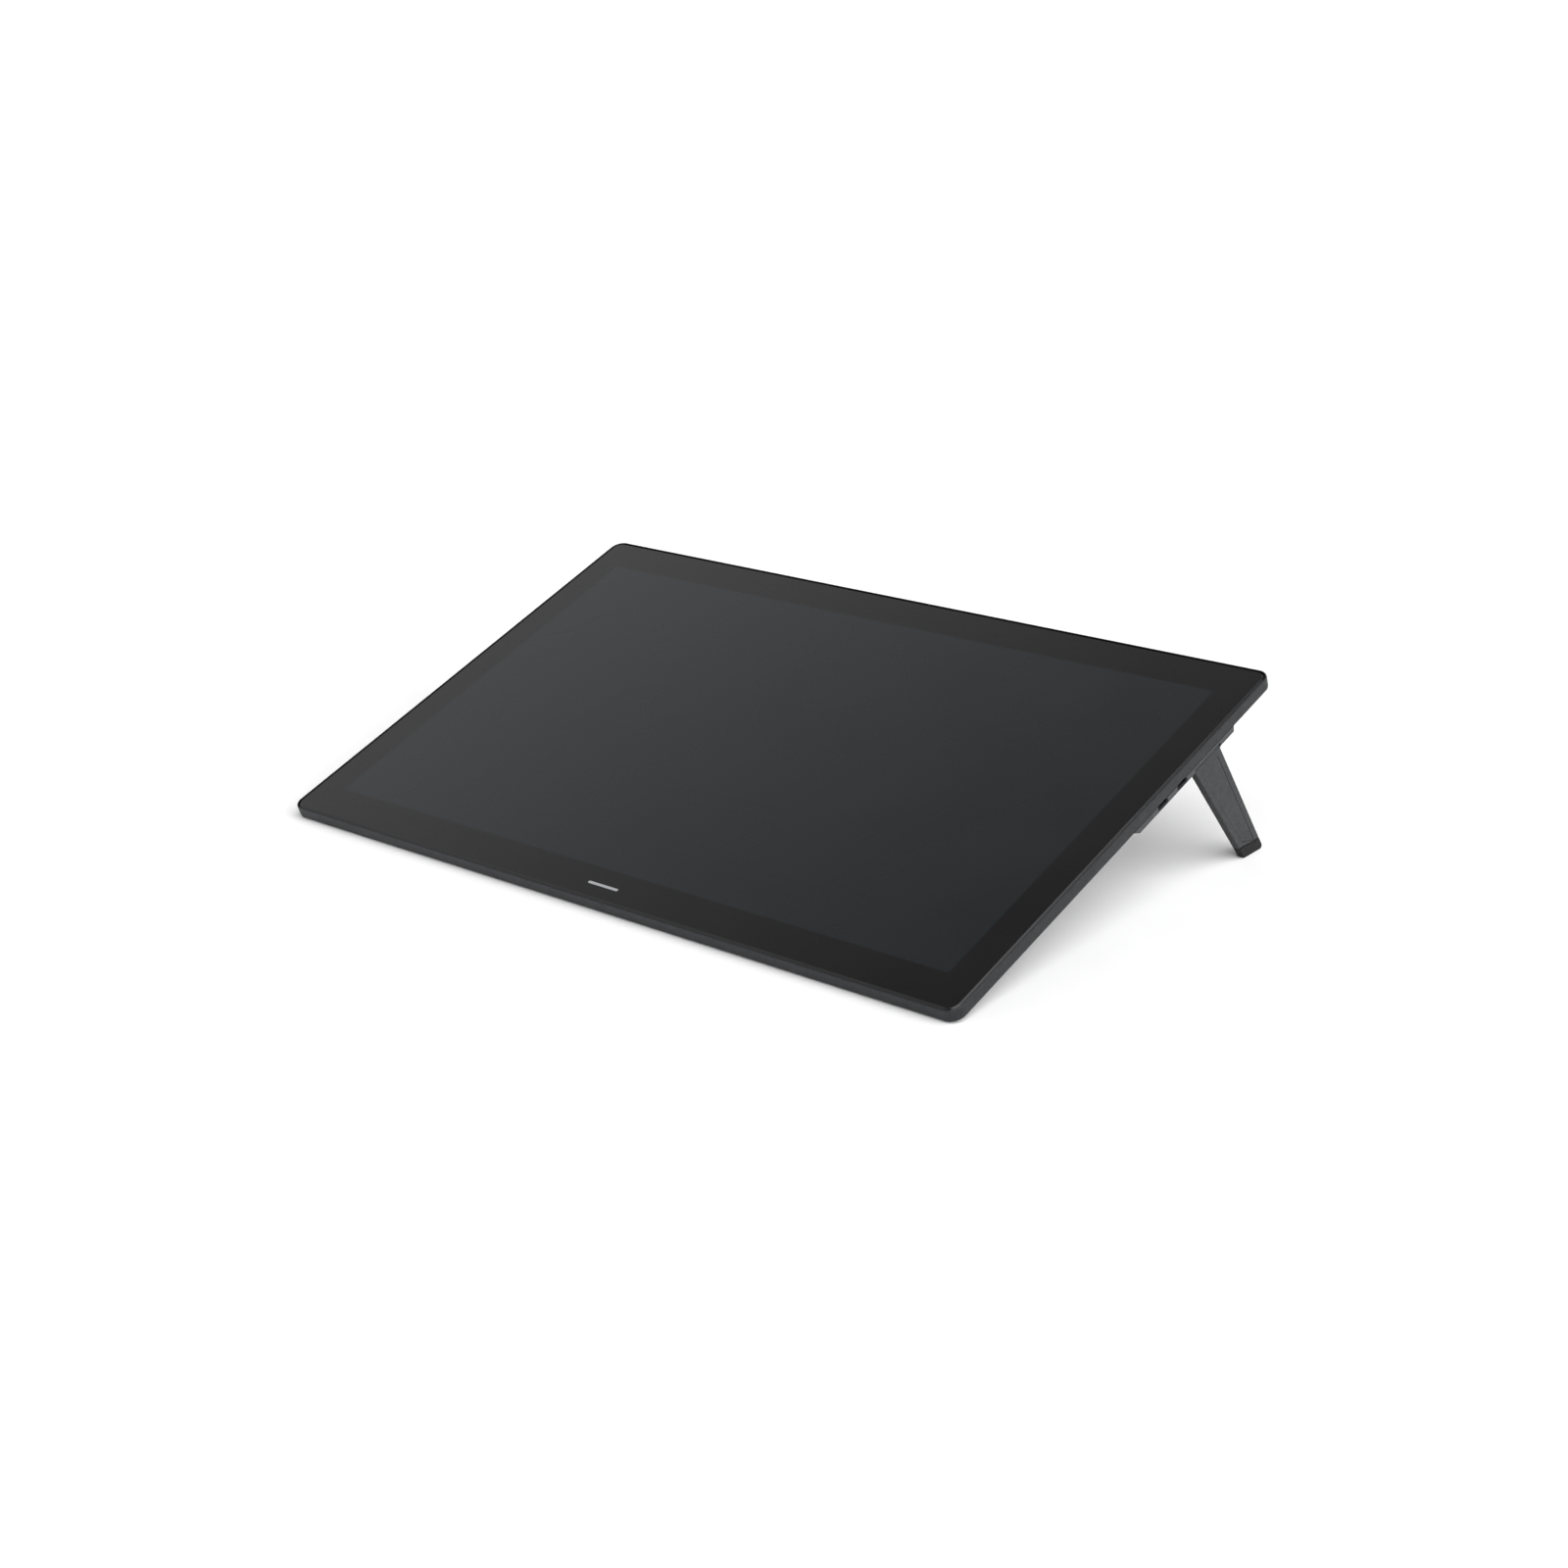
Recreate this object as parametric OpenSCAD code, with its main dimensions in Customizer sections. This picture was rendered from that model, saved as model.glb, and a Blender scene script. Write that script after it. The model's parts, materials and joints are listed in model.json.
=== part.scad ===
// Pen display drawing tablet on two fold-out rear legs.
// The row frame stands it on a floor at z = 0: +X runs along the long side,
// +Y to the back, +Z up, with the origin under the middle of its bounding box.
// Most sub-parts are drawn flat in the panel frame and then tilted by panel_pose():
// there x is centred, y starts at the front edge and z = 0 is the glass face.

/* [Panel] */
// Width of the tablet along its long side
panel_w = 447.7; // [400:1:540]
// Depth of the tablet from front edge to back edge
panel_d = 276.1; // [268:1:335]
// Radius of the four plan corners
corner_r = 7; // [5:0.5:12]
// Height of the visible side frame
rim_h = 6.2; // [6.2:0.1:8]
// Angle of the glass above the floor
tilt = 18; // [14:1:24]

/* [Glass] */
// Thickness of the front glass
glass_t = 1.1; // [0.8:0.1:1.4]
// Width of the polished edge chamfer on the glass
glass_bevel = 0.6; // [0.3:0.1:0.8]
// Width of the frame lip beside the glass
lip_w = 0.75; // [0.5:0.05:1.2]
// Gap between the lip and the glass
glass_gap = 0.3; // [0.1:0.05:0.5]
// Border between the side and the picture area
border_side = 19.35; // [18:0.5:30]
// Border between the front edge and the picture area
border_front = 22.5; // [22:0.5:35]
// Border between the back edge and the picture area
border_back = 23.5; // [22:0.5:35]

/* [Rear cover] */
// Thickness of the flat rear plate
plate_t = 1.4; // [1.2:0.1:2]
// Distance that the rear plate draws in below the frame
plate_inset = 3; // [2:0.5:5]
// Wall thickness of the raised housing
housing_wall = 1.4; // [1.2:0.1:1.8]
// Height of the flush side wall of the housing
housing_side_h = 3; // [2.8:0.1:4]
// Height of the raised housing below the frame
housing_h = 6.4; // [6.2:0.1:8]
// Start of the housing at the side, from the front edge
housing_y0 = 146; // [120:1:147]
// End of the housing at the side, from the front edge
housing_y1 = 237.5; // [237:0.5:242]
// Amount that the housing widens forwards between the legs
housing_grow_front = 14; // [0:1:40]
// Amount that the housing widens backwards between the legs
housing_grow_back = 14.5; // [14:0.5:17]

/* [Legs] */
// Front end of each leg's hinge barrel, from the front edge
leg_y = 201; // [198:1:203]
// Width of a leg at its hinge
leg_w = 23; // [18:0.5:24]
// Thickness of a leg
leg_t = 4; // [3.6:0.2:4.4]
// Lean of the leg's front edge
leg_front_lean = 20; // [16:1:21]
// Lean of the leg's rear edge
leg_rear_lean = 14.6; // [12:0.2:15]
// Set-back of the leg's outer face from the side
leg_inset = 0.3; // [0.2:0.1:0.6]
// Height of the rubber foot on the leg
leg_foot_h = 6.5; // [5:0.5:9]
// Radius of the hinge pin
pin_r = 1; // [0.8:0.1:1.1]
// Running clearance round the hinge pin
pin_clear = 0.05; // [0.03:0.01:0.08]

/* [Side controls] */
// Middle of the front socket, from the front edge
port_front_y = 171.65; // [169:0.5:174]
// Middle of the rear socket, from the front edge
port_rear_y = 189.1; // [186:0.5:190]
// Length of each socket opening
port_slot_w = 8.9; // [8.6:0.1:9.2]
// Height of each socket opening
port_slot_h = 2.6; // [2.5:0.1:2.8]
// Middle of the power button, from the front edge
button_y = 156.6; // [156:0.2:157]
// Length of the power button
button_w = 7.2; // [5:0.2:7.6]
// Height of the power button
button_h = 1.5; // [1.2:0.1:1.8]
// Travel of the power button
button_travel = 0.4; // [0.2:0.05:0.5]

/* [Feet and screws] */
// Middle of the front rubber feet, from the front edge
front_foot_y = 9; // [8:0.5:12]
// Height of the front rubber feet below the rear plate
front_foot_h = 2.6; // [2.4:0.1:4]
// Length of each front rubber foot
front_foot_l = 80; // [40:5:90]
// Radius of a case screw's head
screw_head_r = 1.9; // [1.5:0.1:2]
// Radius of a case screw's thread
screw_r = 0.8; // [0.6:0.05:0.9]

/* [Hidden] */

eps = 0.01;
half_w = panel_w / 2;
round_fn = 48;
bore_fn = 36;

// Standing place: the panel frame is tilted and set so that the feet rest on z = 0
plate_z = -rim_h - plate_t;
front_foot_z = plate_z - front_foot_h;
rim_chamfer = 0.6;
lift = -(front_foot_y * sin(tilt) + front_foot_z * cos(tilt));
frontmost = rim_chamfer * sin(tilt);
rearmost = panel_d * cos(tilt) + (rim_h - rim_chamfer) * sin(tilt);
shift_back = -(frontmost + rearmost) / 2;

// Layers of the display, from the glass down
mask_t = 0.1;
gasket_t = 0.4;
glass_inset = lip_w + glass_gap;
ledge_z = -glass_t - mask_t - gasket_t;
ledge_t = 0.8;
ledge_w = 6.5;
skirt_w = 2.2;
cell_z = -glass_t - mask_t;
cell_t = 1.2;
films_t = 0.5;
guide_t = 1.2;
sheet_t = 0.15;
tray_t = 0.3;
sensor_t = 0.6;
shield_t = 0.15;
cell_over = 3;
films_z = cell_z - cell_t;
guide_z = films_z - films_t;
sheet_z = guide_z - guide_t;
tray_z = sheet_z - sheet_t;
sensor_z = tray_z - tray_t;
shield_z = sensor_z - sensor_t;
tray_rim = 0.5;

// Housing below the frame
housing_z = -rim_h - housing_h;
chamfer_z = -rim_h - housing_side_h;
chamfer_w = housing_h - housing_side_h;
front_slope = 4.5;
back_slope = 0.8;
wing_x = half_w - 82;

// Hinge and legs
pin_x = half_w - leg_inset - leg_t / 2;
bay_z = -rim_h - 1.1;
pin_z = bay_z - 0.4 - leg_t / 2;
foot_drop = pin_z - front_foot_z + (leg_y - front_foot_y) * tan(tilt);
front_len = foot_drop / (1 - tan(leg_front_lean) * tan(tilt));
rear_len = (foot_drop + leg_w * tan(tilt)) / (1 - tan(leg_rear_lean) * tan(tilt));
bay_gap = 1;
ear_t = 2;
ear_r = 1.7;
front_gap = 0.8;
rear_gap = 1.3;
front_ear_y = leg_y - front_gap - ear_t;
rear_ear_y = leg_y + leg_w + rear_gap;
pin_end = 0.6;
bracket_z = bay_z;
bracket_x0 = half_w - 14;
bracket_x1 = half_w - 1.6;
bracket_flange = 7.6;
bracket_y0 = front_ear_y - bracket_flange;
bracket_y1 = rear_ear_y + ear_t + bracket_flange;
flange_x0 = half_w - 15.6;
flange_x1 = half_w - 10.1;
bracket_screws = [[(flange_x0 + flange_x1) / 2, bracket_y0 + 3.2],
    [half_w - 7.5, bracket_y1 - 3.2]];
pocket_wall = 0.5;
scoop_along = 60;
scoop_r = 8;
scoop_depth = 3.2;

// Leg cover plate and foot
cover_t = 0.8;
cover_border_front = 3.5;
cover_border_rear = 4;
tongue_h = 4;
leg_edge = 0.35;
cover_screw_d = [12, 52];

// Boards inside the housing
board_t = 1;
port_z = -rim_h - port_slot_h / 2;
socket_h = 3.2;
socket_w = 8.94;
socket_l = 7.3;
socket_x1 = half_w - skirt_w - 0.2;
board_z1 = port_z - socket_h / 2;
board_z0 = board_z1 - board_t;
port_board_x0 = half_w - 46;
port_board_x1 = half_w - 4.2;
port_board_y0 = housing_y0 + 9;
port_board_y1 = front_ear_y - 3.2;
main_board_w = 240;
main_board_y0 = housing_y0 + 12;
main_board_y1 = housing_y1 - 6;
chip_t = 1.2;
button_z = port_z;
light_y = button_y + button_w / 2 + 1.5;
light_r = 0.45;

// Screw and foot places
front_foot_x = 110 + front_foot_l / 2;
front_foot_w = 6.4;
foot_seat = 0.5;
edge_screw = 6.2;
case_rows = [0, 95, 205];
side_screws = [70, 125];

// Tilts and lifts a sub-part from the panel frame to its standing place
module panel_pose() {
    translate([0, shift_back, lift]) rotate([tilt, 0, 0]) children();
}

// Rounded plan outline of the tablet, drawn in by a distance
module outline(inset) {
    r = max(corner_r - inset, 0.5);
    x1 = half_w - inset - r;
    y0 = inset + r;
    y1 = panel_d - inset - r;
    union() {
        for (x = [-x1, x1], y = [y0, y1]) translate([x, y]) circle(r, $fn = round_fn);
        translate([-x1, y0 - r]) square([2 * x1, y1 - y0 + 2 * r]);
        translate([-x1 - r, y0]) square([2 * x1 + 2 * r, y1 - y0]);
    }
}

// A flat layer of the plan outline between two heights
module layer(inset, z0, z1) {
    translate([0, 0, z0]) linear_extrude(z1 - z0) outline(inset);
}

// A box given by its corners
module block(x0, x1, y0, y1, z0, z1) {
    translate([x0, y0, z0]) cube([x1 - x0, y1 - y0, z1 - z0]);
}

// A box of the picture area, grown by a distance
module picture_block(grow, z0, z1) {
    block(-half_w + border_side - grow, half_w - border_side + grow,
        border_front - grow, panel_d - border_back + grow, z0, z1);
}

// A vertical round bar between two heights
module post(x, y, r, z0, z1) {
    translate([x, y, z0]) cylinder(h = z1 - z0, r = r, $fn = bore_fn);
}

// A round bar along the side of the panel
module side_bar(x, y0, y1, z, r) {
    translate([x, y0, z]) rotate([-90, 0, 0]) cylinder(h = y1 - y0, r = r, $fn = bore_fn);
}

// A bar along X with a round-ended section, w long in y and h high
module stadium_bar(x0, x1, y, z, w, h) {
    reach = w / 2 - h / 2;
    translate([x0, y, z]) rotate([90, 0, 90]) linear_extrude(x1 - x0) union() {
        for (s = [-1, 1]) translate([s * reach, 0]) circle(h / 2, $fn = bore_fn);
        square([2 * reach, h], center = true);
    }
}

// Puts a copy at every case screw
module at_case_screws() {
    for (x = case_rows, s = [-1, 1], y = [edge_screw, panel_d - edge_screw])
        if (x > 0 || s > 0) translate([s * x, y, 0]) children();
    for (s = [-1, 1], y = side_screws) translate([s * (half_w - edge_screw), y, 0]) children();
}

// Puts a copy at every main board screw
module at_board_screws() {
    for (s = [-1, 1], y = [main_board_y0 + 4, main_board_y1 - 4])
        translate([s * (main_board_w / 2 - 4), y, 0]) children();
    for (x = [port_board_x0 + 3.5, port_board_x0 + 24])
        translate([x, port_board_y1 - 3.5, 0]) children();
}

// ---- Display ----

module front_glass() color("#26272a") panel_pose() hull() {
    layer(glass_inset, -glass_t, -glass_bevel * 0.6);
    layer(glass_inset + glass_bevel, -glass_bevel, 0);
}

module bezel_mask() color("#141416") panel_pose() difference() {
    layer(glass_inset + 0.4, -glass_t - mask_t, -glass_t);
    picture_block(0, -glass_t - 1, 0);
}

module glass_gasket() color("#0c0c0d") panel_pose() difference() {
    layer(glass_inset + 0.5, ledge_z, ledge_z + gasket_t);
    layer(ledge_w, ledge_z - 1, 0);
}

module lcd_panel() color("#101214") panel_pose()
    picture_block(cell_over, cell_z - cell_t, cell_z);

module optical_sheets() color("#e8e8e4") panel_pose() union() {
    step = films_t / 3;
    for (i = [0:2])
        picture_block(cell_over - 0.4 * i, films_z - films_t + i * step,
            films_z - films_t + (i + 1) * step);
}

module light_guide() color("#dfeef2") panel_pose()
    picture_block(cell_over - 1, guide_z - guide_t, guide_z);

module reflector_sheet() color("#fafafa") panel_pose()
    picture_block(cell_over - 0.5, sheet_z - sheet_t, sheet_z);

// Strip with one row of light emitters facing the light guide
module backlight_strip() color("#f2e6b8") panel_pose() union() {
    count = 46;
    length = panel_w - 2 * border_side;
    pitch = length / count;
    front = border_front - cell_over + 0.4;
    block(-length / 2, length / 2, front - 0.3, front, guide_z - guide_t, guide_z);
    for (i = [0:count - 1])
        block(-length / 2 + (i + 0.25) * pitch, -length / 2 + (i + 0.75) * pitch,
            front, front + 0.5, guide_z - guide_t + 0.3, guide_z - 0.2);
}

module backlight_tray() color("#b9bcc0") panel_pose() difference() {
    picture_block(cell_over + tray_rim, tray_z - tray_t, cell_z - 0.4);
    picture_block(cell_over + 0.1, tray_z, 0);
}

module pen_sensor_board() color("#1f5a3a") panel_pose()
    picture_block(cell_over - 0.5, shield_z, sensor_z);

module sensor_shield() color("#8a8d90") panel_pose() difference() {
    picture_block(cell_over - 1, shield_z - shield_t, shield_z);
    block(-61, -39, main_board_y0 + 30, main_board_y0 + 38, shield_z - 1, shield_z + 1);
}

// Long narrow board in front of the tray, with its driver parts
module driver_board() color("#1c6b3f") panel_pose() union() {
    y0 = ledge_w + 2.6;
    y1 = border_front - cell_over - 2;
    z1 = -rim_h + 1.7;
    block(-150, 150, y0, y1, z1 - 0.8, z1);
    for (i = [-3:3]) block(i * 42 - 5, i * 42 + 5, y0 + 1, y1 - 1.8, z1, z1 + 0.9);
}

// Thin film flexes that bend down from the panel's front edge to the driver board
module panel_flexes() color("#c98a3a") panel_pose() union() {
    y1 = border_front - cell_over;
    y0 = y1 - 1.4;
    film = 0.12;
    z1 = -rim_h + 1.7;
    for (i = [-3:2]) {
        x0 = i * 42 + 11;
        block(x0, x0 + 20, y0, y1, cell_z - 0.3, cell_z - 0.3 + film);
        block(x0, x0 + 20, y0, y0 + film, z1, cell_z - 0.3);
        block(x0, x0 + 20, y0 - 2, y0, z1, z1 + film);
    }
}

// Flat cable from the driver board back to the main board
module display_cable() color("#2c2c2e") panel_pose() union() {
    film = 0.2;
    z = (shield_z - shield_t - rim_h) / 2;
    y0 = ledge_w + 4;
    y1 = main_board_y0 + 3;
    block(-20, 10, y0, y1, z - film / 2, z + film / 2);
    block(-20, 10, y1, y1 + film, board_z1 + 0.9, z + film / 2);
    block(-20, 10, y0, y0 + film, z, -rim_h + 0.9);
}

// ---- Case ----

// Rounded socket or button opening through the housing's side wall
module side_slot(y, w, h) {
    stadium_bar(half_w - 4, half_w + 1, y, port_z, w, h);
}

module mid_frame() color("#47484a") panel_pose() difference() {
    union() {
        difference() {
            hull() {
                layer(rim_chamfer, -rim_h, 0);
                layer(0, -rim_h + rim_chamfer, -rim_chamfer);
            }
            layer(skirt_w, -rim_h - 1, 1);
        }
        difference() {
            layer(1, ledge_z - ledge_t, ledge_z);
            layer(ledge_w, -rim_h, 1);
        }
        intersection() {
            union() {
                at_case_screws() post(0, 0, 2.4, -rim_h, ledge_z - eps);
                both_sides() for (p = bracket_screws) {
                    post(p.x, p.y, 2.4, -rim_h, ledge_z - eps);
                    block(p.x, half_w - 2, p.y - 2.4, p.y + 2.4, ledge_z - ledge_t,
                        ledge_z - eps);
                }
            }
            layer(1, -rim_h, 0);
        }
    }
    layer(lip_w, ledge_z, 1);
    at_case_screws() post(0, 0, screw_r, -rim_h - 1, ledge_z - 0.6);
    both_sides() for (p = bracket_screws)
        post(p.x, p.y, screw_r, -rim_h - 1, ledge_z - 0.6);
}

// Plan of the housing, wider between the legs, drawn in at its sides, front and back
module housing_plan(side, front, back) {
    x1 = half_w - side;
    polygon([[x1, housing_y0 + front], [x1, housing_y1 - back],
        [wing_x, housing_y1 + housing_grow_back - back],
        [-wing_x, housing_y1 + housing_grow_back - back],
        [-x1, housing_y1 - back], [-x1, housing_y0 + front],
        [-wing_x, housing_y0 - housing_grow_front + front],
        [wing_x, housing_y0 - housing_grow_front + front]]);
}

// Solid housing shape up to a height, thinned all round by a wall
module housing_body(wall, top_z) {
    thin = 0.02;
    bend = wall * tan(22.5);
    ramp = front_slope / housing_side_h;
    front_wall = wall * sqrt(1 + ramp * ramp);
    hull() {
        translate([0, 0, -rim_h - thin]) linear_extrude(top_z + rim_h + thin)
            housing_plan(wall, front_wall, wall);
        translate([0, 0, chamfer_z + bend]) linear_extrude(thin)
            housing_plan(wall, front_slope + front_wall - bend * ramp, back_slope + wall);
        translate([0, 0, housing_z + wall]) linear_extrude(thin)
            housing_plan(chamfer_w + bend, front_slope + chamfer_w + wall,
                back_slope + chamfer_w + bend);
    }
}

// Plan of one leg bay, a clearance larger than the folded leg
module bay_plan(grow) {
    fx = pin_x - front_len - bay_gap - grow;
    rx = pin_x - rear_len - bay_gap - grow;
    front_side = bay_gap / cos(leg_front_lean) + grow / cos(leg_front_lean);
    rear_side = bay_gap / cos(leg_rear_lean) + grow / cos(leg_rear_lean);
    root_x = pin_x - leg_t / 2 + 1;
    polygon([[root_x, leg_y - front_side], [root_x, leg_y + leg_w + rear_side],
        [rx, leg_y + leg_w + rear_side + (pin_x - rx) * tan(leg_rear_lean)],
        [fx - 0.5, leg_y - front_side + (pin_x - fx) * tan(leg_front_lean)]]);
}

// Solid round the bays and the hinge pockets, inside the housing
module bay_block() {
    translate([0, 0, housing_z]) linear_extrude(-rim_h - housing_z) bay_plan(housing_wall);
    block(half_w - 6.5, half_w, front_ear_y - pin_end - 1.4, rear_ear_y + ear_t + pin_end + 1.4,
        housing_z, -rim_h);
    finger_scoop(housing_wall);
}

// Space of the folded leg, its hinge barrel and the hinge ears
module bay_space() {
    translate([0, 0, housing_z - 1]) linear_extrude(bay_z - housing_z + 1) bay_plan(0);
    block(half_w - 7, half_w + 1, leg_y - 0.5, leg_y + leg_w + 0.5, housing_z - 1, bay_z);
    block(half_w - 5, half_w - pocket_wall, front_ear_y - pin_end - 0.4,
        rear_ear_y + ear_t + pin_end + 0.4, housing_z - 1, bay_z);
    block(bracket_x0 - 0.1, bracket_x1 + 0.1, front_ear_y - 1, bracket_y1 + 0.1,
        bracket_z - 0.05, 0);
    block(flange_x0 - 0.1, flange_x1 + 0.1, bracket_y0 - 0.1, leg_y, bracket_z - 0.05, 0);
    finger_scoop(0);
}

// Round hollow beside the folded leg's long edge, for a fingertip
module finger_scoop(grow) {
    translate([pin_x - scoop_along, leg_front(scoop_along) - 1, housing_z - 1])
        cylinder(h = 1 + scoop_depth + grow, r = scoop_r + grow, $fn = round_fn);
}

module both_sides() {
    children();
    mirror([1, 0, 0]) children();
}

module rear_cover() color("#3c3d3f") panel_pose() difference() {
    union() {
        hull() {
            layer(0.25, -rim_h - 0.3, -rim_h);
            layer(plate_inset, plate_z, -rim_h);
        }
        housing_body(0, -rim_h);
        at_board_screws() post(0, 0, 2.4, housing_z + 0.5, board_z0);
    }
    difference() {
        housing_body(housing_wall, 0);
        both_sides() bay_block();
        at_board_screws() post(0, 0, 2.4, housing_z, board_z0);
    }
    both_sides() bay_space();
    at_case_screws() post(0, 0, screw_r + 0.3, plate_z - 1, 0);
    at_case_screws() post(0, 0, screw_head_r + 0.2, plate_z - 1, plate_z + 0.9);
    at_board_screws() post(0, 0, screw_r, board_z0 - 1.6, board_z0 + 1);
    side_slot(port_front_y, port_slot_w, port_slot_h);
    side_slot(port_rear_y, port_slot_w, port_slot_h);
    side_slot(button_y, button_w + 0.2, button_h + 0.2);
    translate([half_w - 4, light_y, port_z]) rotate([0, 90, 0])
        cylinder(h = 5, r = light_r + 0.05, $fn = bore_fn);
    for (s = [-1, 1], i = [0:11])
        block(s * 74 + i * 4 - 23, s * 74 + i * 4 - 21.5, housing_y0 + 18, housing_y0 + 40,
            housing_z - 1, housing_z + housing_wall + 1);
    front_foot_seats(0.05);
}

// Shallow seats in the rear plate for the two front feet
module front_foot_seats(gap) {
    for (s = [-1, 1])
        translate([s * front_foot_x, front_foot_y, plate_z - 1]) linear_extrude(1 + foot_seat)
            square([front_foot_l + 2 * gap, front_foot_w + 2 * gap], center = true);
}

// Rubber strips whose undersides are cut parallel to the floor
module front_feet() color("#1b1b1c") panel_pose() union() {
    half_foot = front_foot_w / 2;
    drop = half_foot * tan(tilt);
    for (s = [-1, 1])
        translate([s * front_foot_x - front_foot_l / 2, front_foot_y, 0])
            rotate([90, 0, 90]) linear_extrude(front_foot_l)
                polygon([[-half_foot, plate_z + foot_seat], [half_foot, plate_z + foot_seat],
                    [half_foot, front_foot_z - drop + 0.7],
                    [half_foot - 0.7, front_foot_z - drop + 0.7 * tan(tilt)],
                    [0.7 - half_foot, front_foot_z + drop - 0.7 * tan(tilt)],
                    [-half_foot, front_foot_z + drop + 0.7]]);
}

// Flat-headed machine screw, head at z = 0 and shank upwards
module screw(head_r, length) {
    difference() {
        union() {
            cylinder(h = 0.8, r = head_r, $fn = bore_fn);
            cylinder(h = length, r = screw_r, $fn = bore_fn);
        }
        cylinder(h = 1, r = head_r * 0.42, center = true, $fn = 6);
    }
}

module case_screws() color("#2a2a2c") panel_pose()
    at_case_screws() translate([0, 0, plate_z + 0.1]) screw(screw_head_r, 4.6);

// ---- Boards ----

module main_board() color("#17513a") panel_pose() difference() {
    block(-main_board_w / 2, main_board_w / 2, main_board_y0, main_board_y1, board_z0, board_z1);
    at_board_screws() post(0, 0, screw_r + 0.25, board_z0 - 1, board_z1 + 1);
}

// Chips and connectors soldered to the main board
module main_chips() color("#222325") panel_pose() union() {
    y = main_board_y0;
    z = board_z1;
    block(-12, 12, y + 26, y + 50, z, z + chip_t);
    for (i = [0:3]) block(20 + i * 13, 29 + i * 13, y + 30, y + 44, z, z + 1);
    for (i = [0:2]) block(-48 + i * 11, -41 + i * 11, y + 12, y + 19, z, z + 0.9);
    block(-22, 12, y + 1.6, y + 3 - 0.05, z, z + 1.4);
    block(-61, -39, y + 40.5, y + 44, z, z + 1.4);
    block(main_board_w / 2 - 4.5, main_board_w / 2 - 1.5, y + 13, y + 29, z, z + 0.9);
    for (i = [0:5]) post(-104 + i * 8, y + 60, 2.6, z, z + 1.8);
}

module shield_can() color("#c2c4c6") panel_pose() difference() {
    y = main_board_y0;
    block(76, 112, y + 34, y + 62, board_z1, board_z1 + 1.7);
    block(76.2, 111.8, y + 34.2, y + 61.8, board_z1 - 1, board_z1 + 1.5);
    for (i = [0:4], j = [0:3]) post(80 + i * 7, y + 38 + j * 6.5, 0.8, board_z1, board_z1 + 3);
}

module thermal_pad() color("#7d8fa6") panel_pose()
    block(-11, 11, main_board_y0 + 27, main_board_y0 + 49, board_z1 + chip_t,
        board_z1 + chip_t + 0.6);

module heat_spreader() color("#9a9da0") panel_pose() difference() {
    z = board_z1 + chip_t + 0.6;
    block(-36, 70, main_board_y0 + 22, main_board_y0 + 56, z, z + 0.5);
    for (i = [-1, 0, 1]) block(i * 24 + 12, i * 24 + 22, main_board_y0 + 50, main_board_y0 + 53,
        z - 1, z + 1);
}

module sensor_flex() color("#c98a3a") panel_pose() union() {
    y = main_board_y0 + 37;
    film = 0.2;
    block(-60, -40, y, y + film, board_z1 + 1.2, shield_z);
    block(-60, -40, y, y + 3.5, board_z1 + 1, board_z1 + 1.2);
}

module board_screws() color("#a8aaad") panel_pose()
    at_board_screws() translate([0, 0, board_z1 + 0.8]) mirror([0, 0, 1])
        screw(1.6, 0.8 + board_t + 1.4);

module port_board() color("#17513a") panel_pose() difference() {
    block(port_board_x0, port_board_x1, port_board_y0, port_board_y1, board_z0, board_z1);
    at_board_screws() post(0, 0, screw_r + 0.25, board_z0 - 1, board_z1 + 1);
}

module port_flex() color("#d8d6cc") panel_pose() union() {
    y = main_board_y0 + 14;
    block(main_board_w / 2 - 1.4, port_board_x0 + 6, y, y + 14, board_z1 + 0.3, board_z1 + 0.5);
    block(port_board_x0 + 6, port_board_x0 + 9, y - 1, y + 15, board_z1, board_z1 + 0.9);
}

// One sealed socket: a drawn steel shell with a centre tongue, open to the side
module usb_socket(y) {
    x0 = socket_x1 - socket_l;
    difference() {
        stadium_bar(x0, socket_x1, y, port_z, socket_w, socket_h);
        stadium_bar(x0 + 0.6, socket_x1 + 1, y, port_z, 8.34, 2.56);
    }
    block(x0 + 0.3, socket_x1 - 0.8, y - 3.35, y + 3.35, port_z - 0.35, port_z + 0.35);
}

module front_usb_socket() color("#9ea1a5") panel_pose() usb_socket(port_front_y);

module rear_usb_socket() color("#9ea1a5") panel_pose() usb_socket(port_rear_y);

// Side-push switch behind the button, with room for the button's travel
module power_switch() color("#38393b") panel_pose() union() {
    block(port_board_x1 - 4.6, port_board_x1 - 1, button_y - 2.5, button_y + 2.5,
        board_z1, port_z + 0.9);
    block(port_board_x1 - 1, port_board_x1 - 0.5, button_y - 1, button_y + 1,
        port_z - 0.5, port_z + 0.5);
}

// Sliding cap with a flange that keeps it inside the wall
module power_button() color("#3a3b3d") panel_pose() union() {
    stadium_bar(half_w - housing_wall - 0.6, half_w, button_y, button_z, button_w, button_h);
    stadium_bar(half_w - housing_wall - 1, half_w - housing_wall - 0.15, button_y, button_z,
        button_w + 0.8, button_h + 0.6);
    block(port_board_x1 - 0.5 + button_travel + 0.1, half_w - housing_wall - 0.6,
        button_y - 0.8, button_y + 0.8, button_z - 0.4, button_z + 0.4);
}

module status_light_pipe() color("#e9eef0") panel_pose()
    translate([half_w - 6, light_y, port_z]) rotate([0, 90, 0]) union() {
        cylinder(h = 5.95, r = light_r, $fn = bore_fn);
        cylinder(h = 4, r = light_r + 0.3, $fn = bore_fn);
    }

// ---- Hinges ----

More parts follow.
